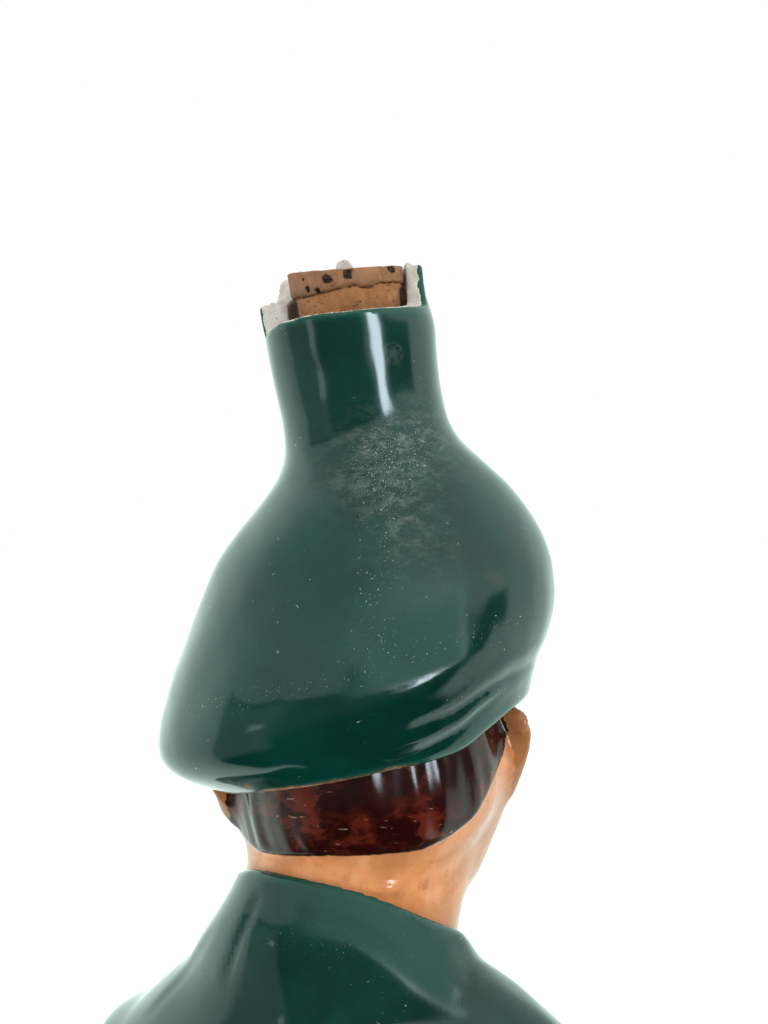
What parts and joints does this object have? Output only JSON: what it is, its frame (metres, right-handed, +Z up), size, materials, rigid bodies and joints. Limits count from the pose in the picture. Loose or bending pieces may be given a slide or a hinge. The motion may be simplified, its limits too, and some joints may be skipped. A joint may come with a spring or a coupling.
{
  "type": "figural liquor bottle",
  "caption": "Glazed ceramic liquor bottle in the form of a bust with a soft cap, its crown drawn up into a neck with a broken mouth and a cork stopper.",
  "frame": {"origin": "middle of the footprint, at the height of the surface that the foot ring stands on", "axes": "+Z up, -Y the way the shoulders and chest face, +X to the figure's left; the head is turned 35 degrees to the figure's left"},
  "size_m": [0.1363, 0.0753, 0.2207],
  "materials": {
    "glaze": "glossy",
    "cork": "raw"
  },
  "bodies": {
    "root": {"bottle_body": "glaze", "cork_stopper": "cork"}
  },
  "joints": []
}
